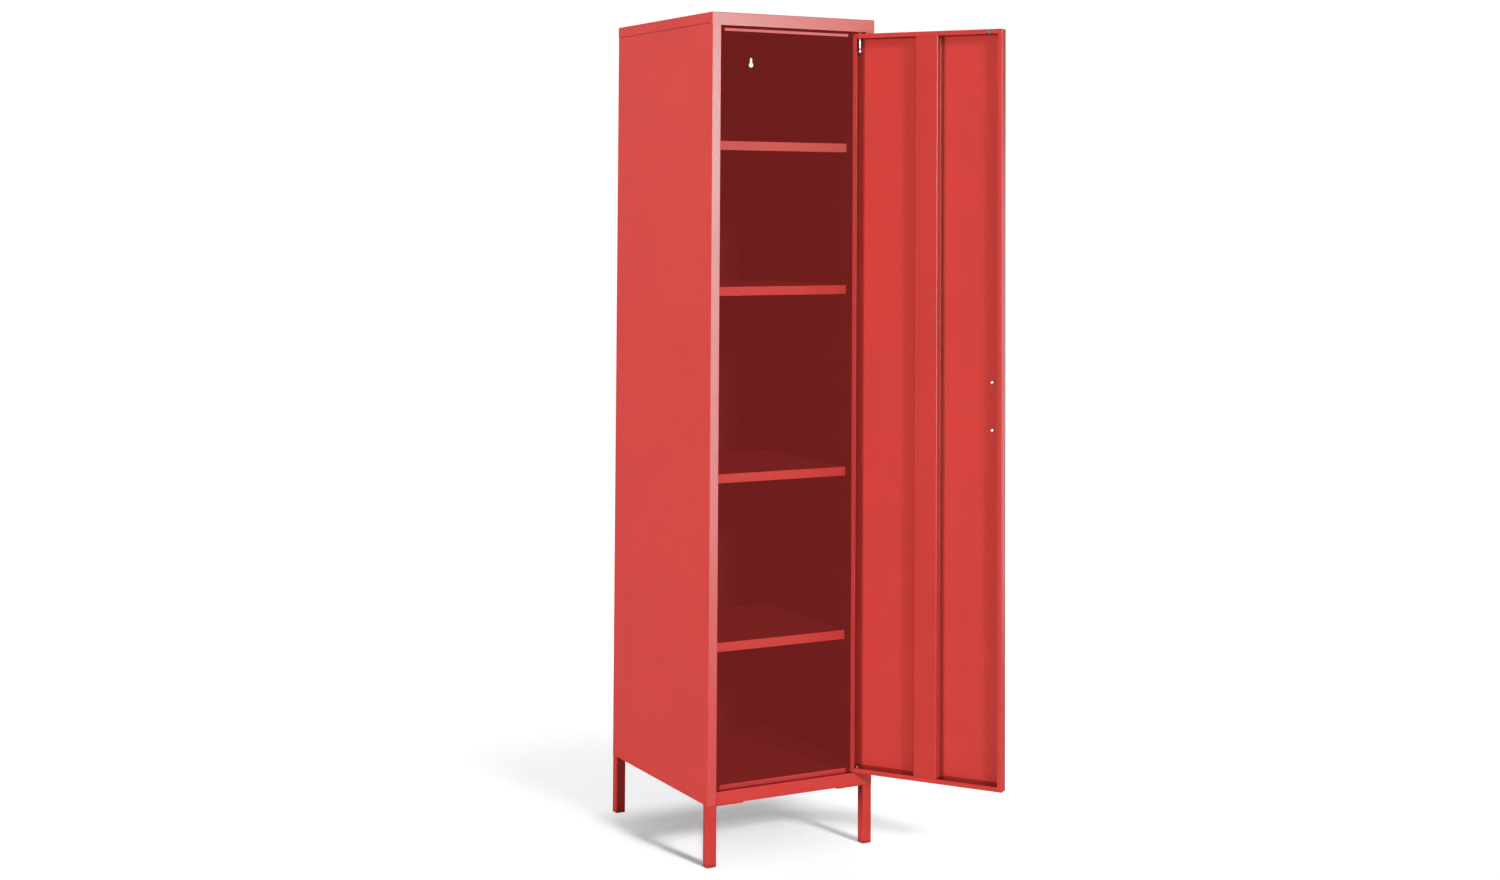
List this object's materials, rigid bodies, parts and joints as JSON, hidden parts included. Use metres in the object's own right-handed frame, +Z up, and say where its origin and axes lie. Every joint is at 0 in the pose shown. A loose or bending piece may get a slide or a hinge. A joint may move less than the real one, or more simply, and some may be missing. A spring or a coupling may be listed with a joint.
{
  "type": "school locker",
  "caption": "Tall steel school locker on square legs: folded-sheet cabinet with shelves and one inset door on concealed pin hinges, shown open.",
  "frame": {"origin": "centre of the front left foot's sole, on the ground", "axes": "+Z up, front faces -Y, hinge side is +X; the cabinet stands square to the axes"},
  "size_m": [0.5414, 0.7302, 1.7],
  "materials": {
    "outside_paint": "satin powder coat, coral red",
    "door_paint": "satin powder coat, coral red",
    "inside_paint": "satin powder coat, coral red",
    "zinc": "bright zinc plate",
    "nylon": "moulded nylon, dark red",
    "foot_plug": "moulded plug, dark red"
  },
  "bodies": {
    "cabinet": {"back_panel": "inside_paint", "bottom_rail_front": "outside_paint", "bottom_rail_rear": "outside_paint", "floor_panel": "inside_paint", "foot_front_left": "foot_plug", "foot_front_right": "foot_plug", "foot_rear_left": "foot_plug", "foot_rear_right": "foot_plug", "header_rail": "outside_paint", "hinge_bush_top": "nylon", "hinge_pin_bottom": "zinc", "hinge_washer_bottom": "nylon", "leg_bolt_front_left": "zinc", "leg_bolt_front_right": "zinc", "leg_bolt_rear_left": "zinc", "leg_bolt_rear_right": "zinc", "leg_front_left": "outside_paint", "leg_front_right": "outside_paint", "leg_gusset_front_left": "outside_paint", "leg_gusset_front_right": "outside_paint", "leg_gusset_rear_left": "outside_paint", "leg_gusset_rear_right": "outside_paint", "leg_rear_left": "outside_paint", "leg_rear_right": "outside_paint", "shelf_1": "outside_paint", "shelf_2": "outside_paint", "shelf_3": "outside_paint", "shelf_4": "outside_paint", "shelf_clip_1a": "inside_paint", "shelf_clip_1b": "inside_paint", "shelf_clip_1c": "inside_paint", "shelf_clip_1d": "inside_paint", "shelf_clip_2a": "inside_paint", "shelf_clip_2b": "inside_paint", "shelf_clip_2c": "inside_paint", "shelf_clip_2d": "inside_paint", "shelf_clip_3a": "inside_paint", "shelf_clip_3b": "inside_paint", "shelf_clip_3c": "inside_paint", "shelf_clip_3d": "inside_paint", "shelf_clip_4a": "inside_paint", "shelf_clip_4b": "inside_paint", "shelf_clip_4c": "inside_paint", "shelf_clip_4d": "inside_paint", "side_panel_left": "outside_paint", "side_panel_right": "outside_paint", "top_cap": "outside_paint"},
    "door": {"door_skin": "door_paint", "door_stiffener": "door_paint", "door_handle": "zinc", "handle_screw_upper": "zinc", "handle_screw_lower": "zinc", "catch_magnet": "zinc"},
    "hinge_pin": {"hinge_pin_top": "zinc"}
  },
  "joints": [
    {"name": "door_hinge", "type": "hinge", "parent": "cabinet", "child": "door", "pos_m": [0.33584, -0.005, 0.9], "axis": [0, 0, 1], "range_deg": [-124.2, 2]},
    {"name": "pin_release", "type": "slide", "parent": "door", "child": "hinge_pin", "axis": [0, 0, -1], "range_m": [0, 0.009]}
  ]
}
